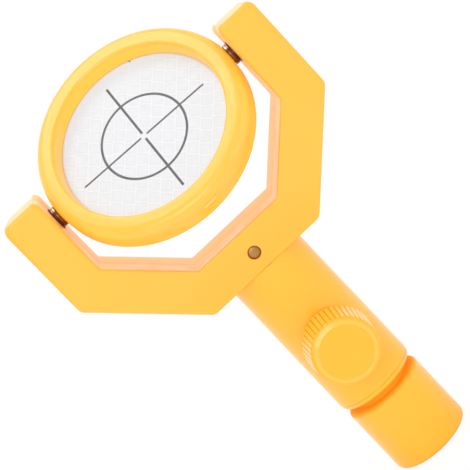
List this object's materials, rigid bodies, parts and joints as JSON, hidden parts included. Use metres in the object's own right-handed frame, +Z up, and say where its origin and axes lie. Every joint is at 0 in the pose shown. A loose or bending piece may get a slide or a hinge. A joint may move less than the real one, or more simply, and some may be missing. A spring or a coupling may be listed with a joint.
{
  "type": "reflective survey target",
  "caption": "Yellow tilting survey target: a ring with a white reflective sheet in a yoke, on a swivelling stem with a clamp knob and a threaded base.",
  "frame": {"origin": "centre of the base's flat underside, at the mouth of the pole thread", "axes": "+X to the right along the tilt pivots, -Y to the front, where the clamp knob is, +Z up along the stem"},
  "size_m": [0.1024, 0.0555, 0.1649],
  "materials": {
    "yellow_plastic": "satin, finely textured moulded plastic",
    "bright_steel": "turned, bright",
    "brass": "machined brass",
    "pin_bronze": "dull, lightly oxidised bronze",
    "washer_plastic": "natural low-friction plastic",
    "bush_plastic": "black bearing plastic",
    "reflective_film": "white cellular reflective sheeting with a plain printed cross and circle",
    "backing_aluminium": "plain sheet"
  },
  "bodies": {
    "base": {"base_shell": "yellow_plastic", "pole_insert": "brass", "spigot": "bright_steel", "slip_washer": "washer_plastic"},
    "head": {"stem_tube": "yellow_plastic", "spigot_sleeve": "brass", "yoke": "yellow_plastic", "cross_pin": "pin_bronze", "clamp_insert": "brass", "arm_bush_left": "bush_plastic", "arm_bush_right": "bush_plastic"},
    "pad": {"clamp_pad": "washer_plastic"},
    "knob": {"clamp_screw": "bright_steel", "knob_body": "yellow_plastic", "knob_cap": "yellow_plastic"},
    "target": {"target_ring": "yellow_plastic", "reflective_sheet": "reflective_film", "backing_disc": "backing_aluminium", "rear_cover": "yellow_plastic", "cover_screws": "bright_steel", "ring_insert_left": "brass", "ring_insert_right": "brass", "pivot_screw_left": "bright_steel", "pivot_screw_right": "bright_steel", "flat_washer_left": "bright_steel", "flat_washer_right": "bright_steel", "cup_washer_left": "bright_steel", "cup_washer_right": "bright_steel"}
  },
  "joints": [
    {"name": "head_swivel", "type": "hinge", "parent": "base", "child": "head", "pos_m": [0, 0, 0.0493], "axis": [0, 0, 1], "continuous": true},
    {"name": "clamp_travel", "type": "slide", "parent": "head", "child": "pad", "axis": [0, -1, 0], "range_m": [0, 0.0015]},
    {"name": "knob_turn", "type": "hinge", "parent": "pad", "child": "knob", "pos_m": [0, 0, 0.0493], "axis": [0, -1, 0], "range_deg": [0, 540]},
    {"name": "target_tilt", "type": "hinge", "parent": "head", "child": "target", "pos_m": [0, 0, 0.136], "axis": [1, 0, 0], "continuous": true}
  ],
  "couplings": [
    {"joint": "clamp_travel", "follows": "knob_turn", "m_per_rad": 0.00015915}
  ]
}
